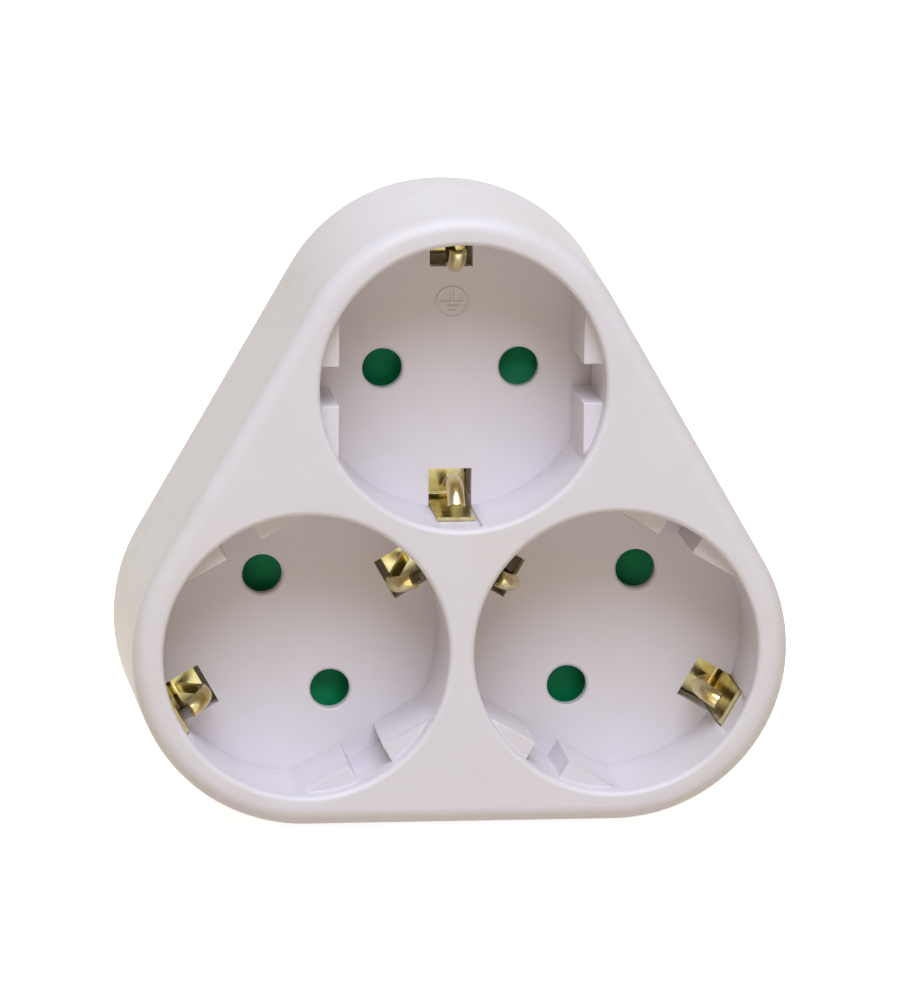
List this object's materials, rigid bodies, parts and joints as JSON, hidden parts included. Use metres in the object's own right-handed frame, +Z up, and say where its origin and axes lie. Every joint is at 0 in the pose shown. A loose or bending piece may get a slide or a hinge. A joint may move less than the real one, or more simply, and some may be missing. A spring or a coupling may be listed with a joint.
{
  "type": "multi socket adapter",
  "caption": "Plug-in adapter with a rounded triangular housing, recessed shuttered earthed sockets in front and an earthed round-pin plug behind.",
  "frame": {"origin": "under the middle of the whole, on the surface that the adapter stands on", "axes": "+Z up, +X to the right seen from the front, +Y the way the plug points"},
  "size_m": [0.092, 0.076, 0.0862],
  "materials": {
    "housing_plastic": "semi-gloss",
    "carrier_plastic": "matte",
    "shutter_plastic": "semi-gloss",
    "contact_brass": "satin",
    "pin_nickel": "satin",
    "spring_steel": "drawn",
    "screw_steel": "zinc-plated"
  },
  "bodies": {
    "adapter": {"contact_carrier": "carrier_plastic", "earth_link": "contact_brass", "earth_strap_left": "contact_brass", "earth_strap_right": "contact_brass", "earth_strap_top": "contact_brass", "front_housing": "housing_plastic", "housing_screw_bottom": "screw_steel", "housing_screw_left": "screw_steel", "housing_screw_right": "screw_steel", "line_bus_bar": "contact_brass", "line_contact_left": "contact_brass", "line_contact_right": "contact_brass", "line_contact_top": "contact_brass", "line_pin": "pin_nickel", "neutral_bus_bar": "contact_brass", "neutral_contact_left": "contact_brass", "neutral_contact_right": "contact_brass", "neutral_contact_top": "contact_brass", "neutral_pin": "pin_nickel", "plug_earth_strap": "contact_brass", "rear_housing": "housing_plastic", "shutter_spring_left": "spring_steel", "shutter_spring_right": "spring_steel", "shutter_spring_top": "spring_steel", "socket_plate_left": "housing_plastic", "socket_plate_right": "housing_plastic", "socket_plate_top": "housing_plastic"},
    "shutter_top": {"shutter_top": "shutter_plastic"},
    "shutter_right": {"shutter_right": "shutter_plastic"},
    "shutter_left": {"shutter_left": "shutter_plastic"}
  },
  "joints": [
    {"name": "shutter_top_turn", "type": "hinge", "parent": "adapter", "child": "shutter_top", "pos_m": [0, -0.0169, 0.06165], "axis": [0, 1, 0], "range_deg": [0, 38], "stiffness_Nm_per_rad": 0.002, "springref_deg": -34.38, "deforming": ["shutter_spring_top"]},
    {"name": "shutter_right_turn", "type": "hinge", "parent": "adapter", "child": "shutter_right", "pos_m": [0.02139, -0.0169, 0.0246], "axis": [0, 1, 0], "range_deg": [0, 38], "stiffness_Nm_per_rad": 0.002, "springref_deg": -34.38, "deforming": ["shutter_spring_right"]},
    {"name": "shutter_left_turn", "type": "hinge", "parent": "adapter", "child": "shutter_left", "pos_m": [-0.02139, -0.0169, 0.0246], "axis": [0, 1, 0], "range_deg": [0, 38], "stiffness_Nm_per_rad": 0.002, "springref_deg": -34.38, "deforming": ["shutter_spring_left"]}
  ]
}
